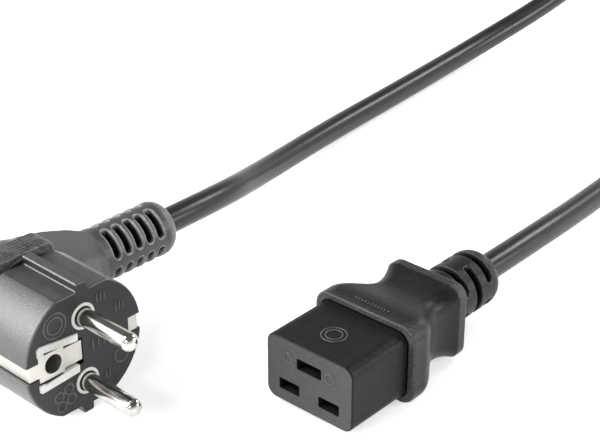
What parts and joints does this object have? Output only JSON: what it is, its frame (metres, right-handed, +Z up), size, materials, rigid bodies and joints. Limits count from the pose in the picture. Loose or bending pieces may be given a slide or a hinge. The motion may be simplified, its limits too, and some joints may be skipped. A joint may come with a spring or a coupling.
{
  "type": "c19 power connector",
  "caption": "C19 mains lead end: three-slot mating block, waisted moulded body and slotted strain relief, with its cord and an angled earthed mains plug",
  "frame": {"origin": "under the middle of the connector's own box, on the surface that the lead lies on", "axes": "+Z up; the mating face looks along -Y and the cord leaves along +Y; +X is across, square to the connector's plane of symmetry"},
  "size_m": [0.1272, 0.475, 0.038],
  "materials": {
    "face_plastic": "stiff moulded block, fine satin texture",
    "connector_pvc": "soft moulded body, satin with a fine mottle",
    "contact_metal": "folded sheet, bright",
    "copper": "bare copper strand",
    "brown_pvc": "core insulation",
    "blue_pvc": "core insulation",
    "green_pvc": "core insulation",
    "plug_pvc": "soft moulded body, satin, textured grip",
    "insert_plastic": "pale stiff insert",
    "plated_metal": "nickel plated, polished",
    "cord_pvc": "smooth round sheath",
    "tie_strap": "woven strap"
  },
  "bodies": {
    "root": {"contact_carrier": "face_plastic", "connector_overmould": "connector_pvc", "line_contact": "contact_metal", "neutral_contact": "contact_metal", "earth_contact": "contact_metal", "line_conductor": "copper", "neutral_conductor": "copper", "earth_conductor": "copper", "line_core": "brown_pvc", "neutral_core": "blue_pvc", "earth_core": "green_pvc", "plug_overmould": "plug_pvc", "plug_insert": "insert_plastic", "plug_earth_clip": "plated_metal", "plug_line_pin": "plated_metal", "plug_neutral_pin": "plated_metal", "plug_line_conductor": "copper", "plug_neutral_conductor": "copper", "plug_earth_conductor": "copper", "plug_line_core": "brown_pvc", "plug_neutral_core": "blue_pvc", "plug_earth_core": "green_pvc", "cord_from_connector": "cord_pvc", "cord_coil": "cord_pvc", "cord_to_plug": "cord_pvc", "coil_tie": "tie_strap"}
  },
  "joints": []
}
